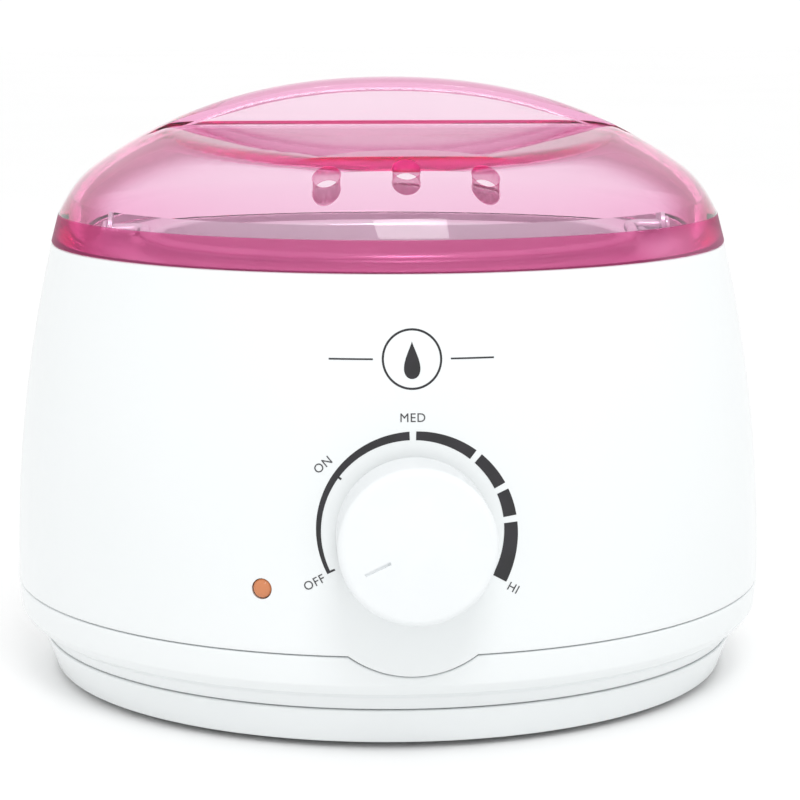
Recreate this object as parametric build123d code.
from build123d import *
import math
import os

# Wax warmer pot, in millimetres. +Z is up, the dial faces -Y, and the origin is the
# middle of the footprint on the surface that the rubber feet stand on.

# ---- housing wall: a barrel turned from one large arc ----
WALL_MAX_RADIUS = 90.2
WALL_ARC_RADIUS = 330.8
WALL_ARC_HEIGHT = 24.4
WALL = 2.5
SEAM = 22.9
SEAM_GAP = 0.3
SHOULDER = 103.1
SHOULDER_INNER_RADIUS = 76.6

# ---- deck that carries the pot rim, and the collar hanging under it ----
DECK_TOP = 101.0
DECK_UNDERSIDE = 98.8
COLLAR_INNER_RADIUS = 62.4
COLLAR_OUTER_RADIUS = 64.8
COLLAR_BOTTOM = 93.6
DECK_PLAY = 0.1
DECK_FLANGE = 2.0
DECK_FLANGE_RADIUS = 78.9
GUSSET_INNER_RADIUS = 68.5
GUSSET_BOTTOM = 84.0

# ---- seam tongue at the front ----
TONGUE_HALF_WIDTH = 13.8
TONGUE_DEPTH = 4.4
TONGUE_INNER_RADIUS = 88.0

# ---- lower shell and base ----
SKIRT_FOOT_RADIUS = 89.5
SKIRT_FOOT_HEIGHT = 16.2
LOWER_BOTTOM = 9.6
LIP_OUTER_RADIUS = 87.5
LIP_INNER_RADIUS = 86.4
LIP_TOP = 25.0
BASE_TOP_RADIUS = 84.1
BASE_TOP = 9.3
BASE_BOTTOM_RADIUS = 81.3
BASE_BOTTOM = 1.5
PLATE_UNDERSIDE = 4.0
PLATE_TOP = 6.2
FOOT_RING_RADIUS = 62.0
FOOT_RADIUS = 7.5

# ---- screw posts ----
POST_RING_RADIUS = 74.5
POST_RADIUS = 4.0
EAR_RING_RADIUS = 70.5
EAR_ANGLES = (90, 210, 330)
CORNER_ANGLES = (45, 135, 225, 315)

# ---- heating well, pot and bail ----
WELL_TOP_RADIUS = 62.0
WELL_BOTTOM_RADIUS = 58.5
WELL_FLOOR = 34.2
WELL_SHEET = 1.2
WELL_CORNER = 6.0
WELL_FLANGE_RADIUS = 66.0
POT_TOP_RADIUS = 60.5
POT_BOTTOM_RADIUS = 57.0
POT_BOTTOM = 34.5
POT_SHEET = 0.8
POT_FLANGE_RADIUS = 69.5
BAIL_WIRE = 1.25
BAIL_SWEEP = 58.5
BAIL_BEND = 3.0
BAIL_AXIS = 104.2
EAR_PLATE_X = 66.5

# ---- band heater ----
HEATER_LOW = 42.0
HEATER_HIGH = 72.0
MICA = 1.4
JACKET = 0.9

# ---- dial and thermostat ----
DIAL_HEIGHT = 49.5
OFF_ANGLE = 206.3
KNOB_RADIUS = 16.5
KNOB_BACK = -90.4
KNOB_FRONT = -105.4
KNOB_EDGE = 4.0
SPINDLE_RADIUS = 3.0
BRACKET_FRONT = -84.0
BRACKET_BACK = -82.8
BRACKET_SCREW_X = 12.0
SCREW_SEAT = -87.5
STACK_HEIGHT = 34.0

# ---- lamp, inlet and terminals ----
LAMP_ANGLE = 249.25
LAMP_HEIGHT = 36.7
INLET_HEIGHT = 32.0
INLET_BORE = 3.6
INLET_SEAT = 90.2
BLOCK_FRONT = 44.0
LEAD_RADIUS = 1.1

# ---- lid ----
LID_TOP = 141.9
LID_WALL = 2.5
LID_CREASE_RADIUS = 79.0
LID_CREASE_HEIGHT = 110.0
LID_RIM_RADIUS = 80.85
RIDGE_HALF_WIDTH = 8.0
RECESS_FRONT = 59.0
RECESS_DEEP_HEIGHT = 131.0
RECESS_FALL = 0.096
RIDGE_END = 56.0
VENT_RADIUS = 3.0
VENT_SPACING = 17.1
VENT_Y = -66.0


def wall_radius(height):
    """Outer radius of the housing wall at a height."""
    drop = height - WALL_ARC_HEIGHT
    return WALL_MAX_RADIUS - WALL_ARC_RADIUS + math.sqrt(WALL_ARC_RADIUS**2 - drop**2)


def turned(*edges):
    """Solid of revolution about Z from a closed outline of (radius, height) edges."""
    return revolve(Plane.XZ * make_face(list(edges)), Axis.Z)


def turned_polygon(*points):
    """Solid of revolution about Z from straight sides."""
    return turned(Polyline(*points, close=True))


def rod(start, end, radius):
    """Cylinder between two points."""
    run = Vector(*end) - Vector(*start)
    frame = Plane(origin=start, z_dir=run)
    return frame * Cylinder(radius, run.length, align=(Align.CENTER, Align.CENTER, Align.MIN))


def post(x, y, low, high, radius):
    """Upright cylinder."""
    return rod((x, y, low), (x, y, high), radius)


def block(low, high):
    """Box between two corners."""
    size = [high[i] - low[i] for i in range(3)]
    middle = [(high[i] + low[i]) / 2 for i in range(3)]
    return Pos(*middle) * Box(*size)


def axial(start_y, end_y, radius, x=0.0, z=DIAL_HEIGHT):
    """Cylinder along Y."""
    return rod((x, start_y, z), (x, end_y, z), radius)


def dial_turn(part, angle):
    """Turn a part about the dial axis, counter-clockwise as seen from the front."""
    return Pos(0, 0, DIAL_HEIGHT) * Rot(0, -angle, 0) * Pos(0, 0, -DIAL_HEIGHT) * part


def on_ring(radius, angle):
    """X and Y of a point on a ring."""
    return (radius * math.cos(math.radians(angle)), radius * math.sin(math.radians(angle)))


def lamp_rod(inner, outer, radius):
    """Cylinder along the lamp's radial axis."""
    near = on_ring(inner, LAMP_ANGLE)
    far = on_ring(outer, LAMP_ANGLE)
    return rod((near[0], near[1], LAMP_HEIGHT), (far[0], far[1], LAMP_HEIGHT), radius)


# ---------------------------------------------------------------- housing

def tongue_prism(growth):
    """Segment of a disc below the seam, as a bar through the front wall."""
    radius = (TONGUE_HALF_WIDTH**2 + TONGUE_DEPTH**2) / (2 * TONGUE_DEPTH)
    centre = SEAM - TONGUE_DEPTH + radius
    disc = axial(-80, -95, radius + growth, z=centre)
    return disc & block((-30, -95, 0), (30, -80, SEAM))


def inner_wall_arc(low, high):
    """Inner face of the housing wall as an arc edge, from low to high."""
    middle = (low + high) / 2
    points = [(wall_radius(h) - WALL, h) for h in (low, middle, high)]
    return ThreePointArc(*points)


def upper_casing():
    """Barrel wall and shoulder in one turned shape."""
    round_off = 0.6
    top = wall_radius(SHOULDER - round_off)
    middle = (SEAM + SHOULDER) / 2
    outer = ThreePointArc(
        (wall_radius(SEAM), SEAM),
        (wall_radius(middle), middle),
        (top, SHOULDER - round_off),
    )
    inner = inner_wall_arc(SEAM, DECK_UNDERSIDE)
    shoulder = Polyline(
        (top, SHOULDER - round_off),
        (top - round_off, SHOULDER),
        (SHOULDER_INNER_RADIUS, SHOULDER),
        (SHOULDER_INNER_RADIUS, DECK_UNDERSIDE),
        (wall_radius(DECK_UNDERSIDE) - WALL, DECK_UNDERSIDE),
    )
    foot = Line((wall_radius(SEAM) - WALL, SEAM), (wall_radius(SEAM), SEAM))
    return turned(outer, shoulder, inner, foot)


def deck_ring():
    """Ring inside the shoulder that carries the pot rim, the well and the four screw posts."""
    edge = SHOULDER_INNER_RADIUS - DECK_PLAY
    ring = turned_polygon(
        (COLLAR_INNER_RADIUS, COLLAR_BOTTOM),
        (COLLAR_INNER_RADIUS, DECK_TOP),
        (edge, DECK_TOP),
        (edge, DECK_UNDERSIDE),
        (DECK_FLANGE_RADIUS, DECK_UNDERSIDE),
        (DECK_FLANGE_RADIUS, DECK_UNDERSIDE - DECK_FLANGE),
        (POST_RING_RADIUS - POST_RADIUS, DECK_UNDERSIDE - DECK_FLANGE),
        (POST_RING_RADIUS - POST_RADIUS, DECK_UNDERSIDE),
        (COLLAR_OUTER_RADIUS, DECK_UNDERSIDE),
        (COLLAR_OUTER_RADIUS, COLLAR_BOTTOM),
    )
    for angle in CORNER_ANGLES:
        x, y = on_ring(POST_RING_RADIUS, angle)
        gusset = Rot(0, 0, angle) * block(
            (GUSSET_INNER_RADIUS, -1.0, GUSSET_BOTTOM),
            (POST_RING_RADIUS, 1.0, DECK_UNDERSIDE),
        )
        ring += post(x, y, PLATE_TOP, DECK_UNDERSIDE, POST_RADIUS)
        ring += gusset
        ring -= post(x, y, PLATE_TOP, PLATE_TOP + 14, 1.5)
    for angle in EAR_ANGLES:
        x, y = on_ring(EAR_RING_RADIUS, angle)
        ring += post(x, y, COLLAR_BOTTOM, DECK_UNDERSIDE, 3.5)
        ring -= post(x, y, COLLAR_BOTTOM, COLLAR_BOTTOM + 6, 1.25)
    return ring


def upper_shell():
    """White housing wall with its shoulder, dial bosses and openings."""
    shell = upper_casing()
    for x in (-BRACKET_SCREW_X, BRACKET_SCREW_X):
        shell += axial(BRACKET_FRONT, -86.8, 3.5, x)
        shell -= axial(-80, -92, 1.6, x)
        shell -= axial(SCREW_SEAT, -92, 2.9, x)
    shell -= axial(-80, -92, 4.3)
    shell -= lamp_rod(80, 95, 2.2)
    shell -= axial(80, 95, 6.1, z=INLET_HEIGHT)
    tongue_ring = turned_polygon(
        (TONGUE_INNER_RADIUS, 17.0),
        (lower_radius(17.0), 17.0),
        (wall_radius(SEAM), SEAM),
        (TONGUE_INNER_RADIUS, SEAM),
    )
    shell += tongue_ring & tongue_prism(0.0)
    return shell


def lower_radius(height):
    """Outer radius of the straight skirt below the seam."""
    share = (height - SKIRT_FOOT_HEIGHT) / (SEAM - SKIRT_FOOT_HEIGHT)
    return SKIRT_FOOT_RADIUS + share * (wall_radius(SEAM) - SKIRT_FOOT_RADIUS)


def lower_shell():
    """White ring below the seam, with an undercut cove and the lip that locates the wall."""
    top = SEAM - SEAM_GAP
    chamfer = 0.4
    side = Polyline(
        (LIP_OUTER_RADIUS, top),
        (lower_radius(top) - chamfer, top),
        (lower_radius(top - chamfer), top - chamfer),
        (SKIRT_FOOT_RADIUS, SKIRT_FOOT_HEIGHT),
    )
    knuckle = ThreePointArc((SKIRT_FOOT_RADIUS, SKIRT_FOOT_HEIGHT), (89.0, 14.7), (87.8, 14.0))
    cove = ThreePointArc((87.8, 14.0), (85.2, 12.3), (83.6, LOWER_BOTTOM))
    inside = Polyline((83.6, LOWER_BOTTOM), (81.0, LOWER_BOTTOM), (81.0, 12.4), (LIP_INNER_RADIUS, 17.2),
                      (LIP_INNER_RADIUS, LIP_TOP), (LIP_OUTER_RADIUS, LIP_TOP), (LIP_OUTER_RADIUS, top))
    ring = turned(side, knuckle, cove, inside)
    return ring - (tongue_prism(SEAM_GAP) - post(0, 0, 0, 40, LIP_OUTER_RADIUS + 0.05))


def base_cover():
    """White foot ring and bottom plate with cooling slots."""
    plate = turned_polygon(
        (0, PLATE_UNDERSIDE),
        (78.7, PLATE_UNDERSIDE),
        (78.7, BASE_BOTTOM),
        (BASE_BOTTOM_RADIUS, BASE_BOTTOM),
        (82.5, 5.0),
        (BASE_TOP_RADIUS, BASE_TOP - 0.3),
        (BASE_TOP_RADIUS - 0.3, BASE_TOP),
        (80.8, BASE_TOP),
        (80.8, 11.6),
        (78.6, 11.6),
        (78.6, PLATE_TOP),
        (0, PLATE_TOP),
    )
    for angle in range(0, 360, 30):
        slot = block((20, -1.5, 3), (38, 1.5, 7)) + post(20, 0, 3, 7, 1.5) + post(38, 0, 3, 7, 1.5)
        plate -= Rot(0, 0, angle) * slot
    for angle in CORNER_ANGLES:
        x, y = on_ring(POST_RING_RADIUS, angle)
        plate -= post(x, y, 3, 7, 1.7)
    return plate - post(0, BLOCK_FRONT + 7, 3, 7, 1.5)


def rubber_foot(angle):
    """Soft foot with a rounded tread edge."""
    x, y = on_ring(FOOT_RING_RADIUS, angle)
    foot = post(0, 0, 0, PLATE_UNDERSIDE, FOOT_RADIUS)
    return Pos(x, y, 0) * fillet(foot.edges().group_by(Axis.Z)[0], 1.2)


def base_screws():
    """Pan-head screws from under the plate into the posts."""
    screws = Part()
    for angle in CORNER_ANGLES:
        x, y = on_ring(POST_RING_RADIUS, angle)
        head = post(x, y, PLATE_UNDERSIDE - 2.0, PLATE_UNDERSIDE, 3.2)
        head -= block((x - 2.2, y - 0.4, 1.9), (x + 2.2, y + 0.4, 2.9))
        head -= block((x - 0.4, y - 2.2, 1.9), (x + 0.4, y + 2.2, 2.9))
        screws += head + post(x, y, PLATE_UNDERSIDE, PLATE_TOP + 12, 1.45)
    return screws


# ---------------------------------------------------------------- heating well and heater

def well_outer_radius(height):
    """Outer radius of the tapered well at a height."""
    share = (height - WELL_FLOOR) / (COLLAR_BOTTOM - WELL_FLOOR)
    return WELL_BOTTOM_RADIUS + share * (WELL_TOP_RADIUS - WELL_BOTTOM_RADIUS) + WELL_SHEET


def cup(top_radius, bottom_radius, top, floor, sheet, corner, flange_radius, flange_sheet):
    """Drawn sheet cup with a rounded floor corner and a rim flange."""
    outer = FilletPolyline(
        (0, floor),
        (bottom_radius, floor),
        (top_radius, top - flange_sheet),
        (flange_radius, top - flange_sheet),
        (flange_radius, top),
        (top_radius - sheet, top),
        (bottom_radius - sheet, floor + sheet),
        (0, floor + sheet),
        (0, floor),
        radius=(0, corner, 0.6, 0, 0, 0.9, corner - sheet, 0),
    )
    return turned(outer)


def heating_well():
    """Aluminium cup round the pot, with three screw ears on its flange."""
    well = cup(
        WELL_TOP_RADIUS + WELL_SHEET,
        WELL_BOTTOM_RADIUS + WELL_SHEET,
        COLLAR_BOTTOM,
        WELL_FLOOR - WELL_SHEET,
        WELL_SHEET,
        WELL_CORNER,
        WELL_FLANGE_RADIUS,
        WELL_SHEET,
    )
    for angle in EAR_ANGLES:
        ear = block((64, -4.5, COLLAR_BOTTOM - WELL_SHEET), (EAR_RING_RADIUS, 4.5, COLLAR_BOTTOM))
        ear += post(EAR_RING_RADIUS, 0, COLLAR_BOTTOM - WELL_SHEET, COLLAR_BOTTOM, 4.5)
        ear -= post(EAR_RING_RADIUS, 0, 90, 95, 1.5)
        well += Rot(0, 0, angle) * ear
    return well


def well_screws():
    """Screws through the ears into the hanging bosses."""
    screws = Part()
    ear_under = COLLAR_BOTTOM - WELL_SHEET
    for angle in EAR_ANGLES:
        x, y = on_ring(EAR_RING_RADIUS, angle)
        screws += post(x, y, ear_under - 2.0, ear_under, 2.8)
        screws += post(x, y, ear_under, COLLAR_BOTTOM + 5.5, 1.2)
    return screws


def heater_layer(inside, thickness):
    """Tapered band round the well, open at the rear for its clamp."""
    low = well_outer_radius(HEATER_LOW) + inside
    high = well_outer_radius(HEATER_HIGH) + inside
    band = turned_polygon((low, HEATER_LOW), (low + thickness, HEATER_LOW), (high + thickness, HEATER_HIGH),
                          (high, HEATER_HIGH))
    return band - block((-4, 50, HEATER_LOW - 1), (4, 80, HEATER_HIGH + 1))


def heater_mica():
    """Insulated heating strip."""
    return heater_layer(0.1, MICA)


def heater_jacket():
    """Steel band with two clamp ears at the rear."""
    jacket = heater_layer(0.15 + MICA, JACKET)
    for side in (-1, 1):
        ear = block((min(side * 4, side * 5.2), 63.6, 50), (max(side * 4, side * 5.2), 73.5, 64))
        jacket += ear - rod((side * 3, 69.5, 57), (side * 6, 69.5, 57), 2.1)
    return jacket


def clamp_screw():
    """Cheese-head screw across the jacket's ears."""
    head = rod((-8.2, 69.5, 57), (-5.2, 69.5, 57), 3.5) - block((-8.3, 69.0, 53), (-7.2, 70.0, 61))
    return head + rod((-5.2, 69.5, 57), (10.0, 69.5, 57), 1.95)


def clamp_nut():
    """Hexagon nut on the clamp screw."""
    hexagon = extrude(RegularPolygon(3.9, 6), 3.2)
    return Pos(5.2, 69.5, 57) * Rot(0, 90, 0) * hexagon - rod((5, 69.5, 57), (9, 69.5, 57), 2.0)


def fuse_centre():
    """Distance of the fuse's axis from the body axis."""
    return well_outer_radius(HEATER_HIGH) + MICA + JACKET + 2.6


def thermal_fuse():
    """Cylindrical cut-out standing against the jacket."""
    return post(-fuse_centre(), 0, 50, 62, 2.1)


def fuse_clip():
    """Saddle that holds the fuse on the jacket."""
    centre = fuse_centre()
    saddle = block((-centre - 3.2, -5.5, 52), (-62, 5.5, 60))
    saddle -= post(-centre, 0, 51, 61, 2.2)
    top = well_outer_radius(HEATER_HIGH) + MICA + JACKET + 0.3
    bottom = well_outer_radius(HEATER_LOW) + MICA + JACKET + 0.3
    return saddle - turned_polygon(
        (0, HEATER_LOW),
        (bottom, HEATER_LOW),
        (top, HEATER_HIGH),
        (0, HEATER_HIGH),
    )


# ---------------------------------------------------------------- thermostat

def thermostat_bracket():
    """Steel plate that carries the thermostat behind the wall."""
    plate = block((-14, BRACKET_FRONT, 27), (14, BRACKET_BACK, 56))
    for x in (-BRACKET_SCREW_X, BRACKET_SCREW_X):
        plate -= axial(-86, -80, 1.5, x)
    return plate - axial(-86, -80, 4.05) - axial(-86, -80, 1.6, z=STACK_HEIGHT)


def thermostat_bushing():
    """Brass bush that the spindle turns in."""
    bush = axial(-88.6, BRACKET_BACK, 4.0) + axial(BRACKET_BACK, BRACKET_BACK + 1.2, 5.5)
    return bush - axial(-90, -80, SPINDLE_RADIUS + 0.05)


def thermostat_spindle():
    """Turning spindle with a flat for the knob, a collar and a pressing tip."""
    spindle = axial(-101.0, -81.4, SPINDLE_RADIUS) + axial(-81.4, -80.4, 4.0) + axial(-80.4, -79.8, 1.5)
    flat = block((1.6, -101.1, DIAL_HEIGHT - 4), (3.4, -92.0, DIAL_HEIGHT + 4))
    return spindle - dial_turn(flat, OFF_ANGLE)


def thermostat_screws():
    """Screws through the wall into the bracket, hidden under the knob."""
    screws = Part()
    for x in (-BRACKET_SCREW_X, BRACKET_SCREW_X):
        head = axial(SCREW_SEAT - 1.4, SCREW_SEAT, 2.7, x)
        head -= block((x - 0.4, SCREW_SEAT - 1.5, 46), (x + 0.4, SCREW_SEAT - 0.8, 53))
        screws += head + axial(SCREW_SEAT, -81.5, 1.45, x)
    return screws


STACK = (
    ("washer", BRACKET_BACK, -79.4),
    ("moving", -79.4, -79.0),
    ("washer", -79.0, -76.4),
    ("fixed", -76.4, -76.0),
    ("washer", -76.0, -73.4),
    ("bimetal", -73.4, -72.6),
    ("washer", -72.6, -71.2),
)


def stack_washers():
    """Ceramic insulators between the blades."""
    washers = Part()
    for name, front, back in STACK:
        if name == "washer":
            washers += axial(front, back, 5.0, z=STACK_HEIGHT) - axial(front, back, 1.6, z=STACK_HEIGHT)
    return washers


def blade(kind, half_width, low, high):
    """Flat spring or bimetal strip held in the stack."""
    front, back = [(f, b) for name, f, b in STACK if name == kind][0]
    strip = block((-half_width, front, low), (half_width, back, high))
    return strip - axial(front - 1, back + 1, 1.6, z=STACK_HEIGHT)


def contact_points():
    """Silver contacts that face each other, open in the off position."""
    return axial(-79.0, -78.0, 1.6, z=54.0) + axial(-77.4, -76.4, 1.6, z=54.0)


def stack_rivet():
    """Rivet that clamps the blade stack to the bracket."""
    rivet = axial(BRACKET_FRONT - 1.2, BRACKET_FRONT, 3.0, z=STACK_HEIGHT)
    rivet += axial(BRACKET_FRONT, -71.2, 1.5, z=STACK_HEIGHT)
    return rivet + axial(-71.2, -70.2, 3.0, z=STACK_HEIGHT)


# ---------------------------------------------------------------- knob

def knob():
    """Round cap with a soft edge, a hollow back, a D-shaped bore and a pointer groove."""
    cap = axial(KNOB_BACK, KNOB_FRONT, KNOB_RADIUS)
    cap = fillet(cap.edges().group_by(Axis.Y)[0], KNOB_EDGE)
    cap -= axial(KNOB_BACK + 0.1, KNOB_BACK - 7.0, 13.5) - axial(KNOB_BACK + 1, KNOB_BACK - 8, 5.5)
    bore = axial(-101.2, KNOB_BACK + 1, SPINDLE_RADIUS + 0.02)
    bore -= dial_turn(
        block((2.05, -101.3, DIAL_HEIGHT - 4), (3.5, KNOB_BACK - 1.8, DIAL_HEIGHT + 4)),
        OFF_ANGLE,
    )
    pointer = block((6.6, KNOB_FRONT - 0.1, DIAL_HEIGHT - 0.6), (12.3, KNOB_FRONT + 0.8, DIAL_HEIGHT + 0.6))
    return cap - bore - dial_turn(pointer, OFF_ANGLE)


def knob_spring():
    """Leaf between the spindle's flat and the bore."""
    leaf = block((1.65, -100.5, DIAL_HEIGHT - 1.8), (2.0, -93.0, DIAL_HEIGHT + 1.8))
    return dial_turn(leaf, OFF_ANGLE)


# ---------------------------------------------------------------- lamp, inlet, terminals and leads

def indicator_lens():
    """Small lens with a domed nose and an inner flange."""
    nose = lamp_rod(84.4, 90.5, 2.05)
    nose = fillet(nose.edges().sort_by_distance(on_ring(90.5, LAMP_ANGLE) + (LAMP_HEIGHT,))[0], 0.9)
    return nose + lamp_rod(84.4, 86.0, 3.5)


def neon_lamp():
    """Glass neon lamp with a rounded nose."""
    lamp = lamp_rod(76.0, 84.2, 2.9)
    return fillet(lamp.edges().sort_by_distance(on_ring(84.2, LAMP_ANGLE) + (LAMP_HEIGHT,))[0], 1.6)


def lamp_sleeve():
    """Sleeve that holds the lamp against the lens."""
    return lamp_rod(75.5, 84.4, 4.2) - lamp_rod(75.0, 85.0, 2.95)


def cord_bushing():
    """Flanged inlet bush in the rear wall."""
    bush = axial(82.0, INLET_SEAT, 6.0, z=INLET_HEIGHT)
    flange = axial(INLET_SEAT, INLET_SEAT + 2.0, 8.5, z=INLET_HEIGHT)
    flange = fillet(flange.edges().group_by(Axis.Y)[-1], 1.0)
    return bush + flange - axial(80, 95, INLET_BORE, z=INLET_HEIGHT)


def bushing_nut():
    """Ring nut that holds the bush from inside."""
    return axial(83.4, 86.2, 8.2, z=INLET_HEIGHT) - axial(83, 87, 6.05, z=INLET_HEIGHT)


def terminal_block():
    """Moulded block with four screw wells."""
    body = block((-15, BLOCK_FRONT, PLATE_TOP), (15, BLOCK_FRONT + 14, 20))
    for x in (-10, 10):
        for y in (BLOCK_FRONT + 3.5, BLOCK_FRONT + 10.5):
            body -= post(x, y, 12, 20, 2.1)
    return body - post(0, BLOCK_FRONT + 7, 5, 21, 1.5)


def terminal_screws():
    """Slotted screws in the wells."""
    screws = Part()
    for x in (-10, 10):
        for y in (BLOCK_FRONT + 3.5, BLOCK_FRONT + 10.5):
            screws += post(x, y, 12, 17.5, 2.0) - block((x - 2.1, y - 0.3, 16.8), (x + 2.1, y + 0.3, 18))
    return screws


def block_screw():
    """Screw that holds the block on the plate."""
    y = BLOCK_FRONT + 7
    head = post(0, y, 20, 21.8, 2.8) - block((-3, y - 0.4, 21.1), (3, y + 0.4, 22))
    return head + post(0, y, 4.4, 20, 1.45)


def lead(radii, *points):
    """Insulated wire on straight runs joined by tangent arcs."""
    path = FilletPolyline(*points, radius=radii)
    start = Plane(origin=path @ 0, z_dir=path % 0)
    return sweep(start * Circle(LEAD_RADIUS), path=path)


def lead_thermostat():
    """Lead from the moving blade to the terminal block."""
    return lead(
        (5, 12, 12),
        (0, -79.2, 24),
        (0, -79.2, 15.5),
        (-7, -56, 12),
        (-6, 20, 11),
        (-6, BLOCK_FRONT, 11),
    )


def lead_heater():
    """Lead from the fixed blade to the lower edge of the heater."""
    ring = well_outer_radius(HEATER_LOW) + 1.4
    x, y = on_ring(ring, -62)
    return lead((5, 6), (0, -76.2, 24), (0, -76.2, 16.5), (x, y, 18), (x, y, HEATER_LOW))


def lead_fuse():
    """Lead from the fuse to the side of the terminal block."""
    x = -fuse_centre()
    return lead((12, 12), (x, 0, 50), (x, 0, 20), (-44, 51, 13), (-15, 51, 13))


# ---------------------------------------------------------------- pot, bail and lid

def pot():
    """Drawn aluminium wax pot with a wide rim."""
    return cup(POT_TOP_RADIUS, POT_BOTTOM_RADIUS, DECK_TOP + POT_SHEET, POT_BOTTOM, POT_SHEET, 6.0,
               POT_FLANGE_RADIUS, POT_SHEET)


def pot_ear(side):
    """Angle bracket on the pot's rim with the bail's pivot hole."""
    rim = DECK_TOP + POT_SHEET
    foot = block((62.2, -6.5, rim), (EAR_PLATE_X + 1.0, 6.5, rim + POT_SHEET))
    upright = block((EAR_PLATE_X, -4.0, rim), (EAR_PLATE_X + 1.0, 4.0, BAIL_AXIS))
    upright += rod((EAR_PLATE_X, 0, BAIL_AXIS), (EAR_PLATE_X + 1.0, 0, BAIL_AXIS), 4.0)
    upright &= block((EAR_PLATE_X, -4.0, rim), (EAR_PLATE_X + 1.0, 4.0, BAIL_AXIS + 5))
    ear = foot + upright - rod(
        (EAR_PLATE_X - 1, 0, BAIL_AXIS),
        (EAR_PLATE_X + 2, 0, BAIL_AXIS),
        BAIL_WIRE + 0.06,
    )
    for y in (-4, 4):
        ear -= post(64.3, y, rim - 1, rim + 2, 1.2)
    return ear if side > 0 else mirror(ear, Plane.YZ)


def pot_with_rivet_holes():
    """Pot with the holes for the ear rivets."""
    body = pot()
    for x in (-64.3, 64.3):
        for y in (-4, 4):
            body -= post(x, y, DECK_TOP - 1, DECK_TOP + 2, 1.2)
    return body


def ear_rivets():
    """Flush rivets that fix the ears to the rim."""
    rivets = Part()
    top = DECK_TOP + 2 * POT_SHEET
    for x in (-64.3, 64.3):
        for y in (-4, 4):
            rivets += post(x, y, DECK_TOP, top, 1.2) + post(x, y, top, top + 0.7, 1.9)
    return rivets


def bail():
    """Wire handle, folded forward and flat over the rim, with upset ends outside the ears."""
    reach = EAR_PLATE_X + 1.4
    bend = BAIL_SWEEP + BAIL_BEND
    diagonal = BAIL_BEND * math.sqrt(0.5)
    right = Line((reach, 0), (bend, 0))
    right_bend = ThreePointArc((bend, 0), (bend - diagonal, -BAIL_BEND + diagonal), (BAIL_SWEEP, -BAIL_BEND))
    front = ThreePointArc((BAIL_SWEEP, -BAIL_BEND), (0, -BAIL_BEND - BAIL_SWEEP), (-BAIL_SWEEP, -BAIL_BEND))
    left_bend = ThreePointArc(
        (-BAIL_SWEEP, -BAIL_BEND),
        (-bend + diagonal, -BAIL_BEND + diagonal),
        (-bend, 0),
    )
    left = Line((-bend, 0), (-reach, 0))
    path = Pos(0, 0, BAIL_AXIS) * Wire([right, right_bend, front, left_bend, left])
    section = Plane(origin=(reach, 0, BAIL_AXIS), z_dir=(-1, 0, 0)) * Circle(BAIL_WIRE)
    wire = sweep(section, path=path)
    for side in (-1, 1):
        wire += rod((side * reach, 0, BAIL_AXIS), (side * (reach + 1.1), 0, BAIL_AXIS), 2.0)
    return wire


def recess(wall_y, drop, front):
    """Space above the sloping floor of the front finger recess, up to its low front wall."""
    low = RECESS_DEEP_HEIGHT - drop
    far = -front
    floor_far = low + (far - wall_y) * RECESS_FALL
    side = Plane.YZ * make_face(Polyline(
        (wall_y, low),
        (far, floor_far),
        (far, 150),
        (wall_y, 150),
        close=True,
    ))
    return extrude(side, LID_CREASE_RADIUS, both=True)


def both_ways(part):
    """A part and its mirror image at the rear."""
    return part + mirror(part, Plane.XZ)


def ridge_crown():
    """Disc with a crowned rim whose top is the rounded back of the ridge."""
    edge_height = 140.3
    arc_radius = 162.0
    centre = edge_height - arc_radius
    half = RIDGE_HALF_WIDTH + 0.5
    top = ThreePointArc((-half, edge_height - 0.2), (0, LID_TOP + 0.05), (half, edge_height - 0.2))
    sides = Polyline((half, edge_height - 0.2), (half, 100), (-half, 100), (-half, edge_height - 0.2))
    return revolve(Plane.YZ * make_face([top, sides]), Axis((0, 0, centre), (0, 1, 0)))


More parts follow.
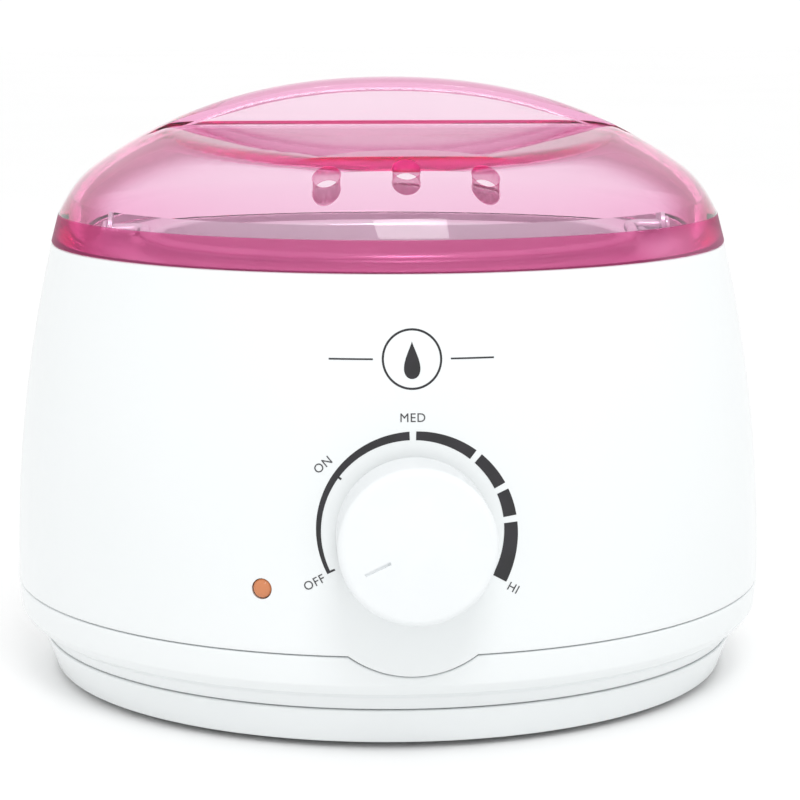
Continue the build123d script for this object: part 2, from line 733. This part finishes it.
def lid():
    """Domed see-through lid with a hollow ridge handle, rim band and locating skirt."""
    over = Spline((0, LID_TOP), (31.9, 138.5), (56.4, 129.5), (68.6, 122.3), (76.0, 115.2),
                  (LID_CREASE_RADIUS, LID_CREASE_HEIGHT), tangents=((1, 0), (0.45, -0.89)))
    band = Polyline((LID_CREASE_RADIUS, LID_CREASE_HEIGHT), (LID_RIM_RADIUS, SHOULDER), (76.0, SHOULDER),
                    (76.0, SHOULDER - 1.8), (0, SHOULDER - 1.8), (0, LID_TOP))
    under = Spline((0, LID_TOP - LID_WALL), (31.3, 136.1), (55.2, 127.3), (66.8, 120.4), (74.0, 112.6),
                   tangents=((1, 0), (0.5, -0.866)))
    hollow = Polyline((74.0, 112.6), (74.0, SHOULDER - 3), (0, SHOULDER - 3), (0, LID_TOP - LID_WALL))
    shape = turned(over, band)
    shape -= both_ways(recess(-RIDGE_HALF_WIDTH, 0, RECESS_FRONT))
    shape -= block((-RIDGE_END, -RIDGE_HALF_WIDTH, 125), (RIDGE_END, RIDGE_HALF_WIDTH, 150)) - ridge_crown()
    room = turned(under, hollow)
    room -= both_ways(recess(-RIDGE_HALF_WIDTH + LID_WALL, LID_WALL, RECESS_FRONT + LID_WALL))
    shape -= room
    for x in (-VENT_SPACING, 0, VENT_SPACING):
        shape -= post(x, VENT_Y, 112, 135, VENT_RADIUS)
    return shape


PARTS = {
    "upper_shell": upper_shell,
    "deck_ring": deck_ring,
    "lower_shell": lower_shell,
    "base_cover": base_cover,
    "foot_front_left": lambda: rubber_foot(225),
    "foot_front_right": lambda: rubber_foot(315),
    "foot_rear_left": lambda: rubber_foot(135),
    "foot_rear_right": lambda: rubber_foot(45),
    "base_screws": base_screws,
    "heating_well": heating_well,
    "well_screws": well_screws,
    "heater_mica": heater_mica,
    "heater_jacket": heater_jacket,
    "clamp_screw": clamp_screw,
    "clamp_nut": clamp_nut,
    "thermal_fuse": thermal_fuse,
    "fuse_clip": fuse_clip,
    "thermostat_bracket": thermostat_bracket,
    "thermostat_bushing": thermostat_bushing,
    "thermostat_spindle": thermostat_spindle,
    "thermostat_screws": thermostat_screws,
    "stack_washers": stack_washers,
    "contact_blade_moving": lambda: blade("moving", 3.0, 24, 56.5),
    "contact_blade_fixed": lambda: blade("fixed", 3.0, 24, 56.5),
    "bimetal_strip": lambda: blade("bimetal", 4.0, 30, 60),
    "contact_points": contact_points,
    "stack_rivet": stack_rivet,
    "knob": knob,
    "knob_spring": knob_spring,
    "indicator_lens": indicator_lens,
    "neon_lamp": neon_lamp,
    "lamp_sleeve": lamp_sleeve,
    "cord_bushing": cord_bushing,
    "bushing_nut": bushing_nut,
    "terminal_block": terminal_block,
    "terminal_screws": terminal_screws,
    "block_screw": block_screw,
    "lead_thermostat": lead_thermostat,
    "lead_heater": lead_heater,
    "lead_fuse": lead_fuse,
    "pot": pot_with_rivet_holes,
    "pot_ear_left": lambda: pot_ear(-1),
    "pot_ear_right": lambda: pot_ear(1),
    "ear_rivets": ear_rivets,
    "bail": bail,
    "lid": lid,
}

os.makedirs("parts", exist_ok=True)
for node, make in PARTS.items():
    export_step(make(), f"parts/{node}.step")
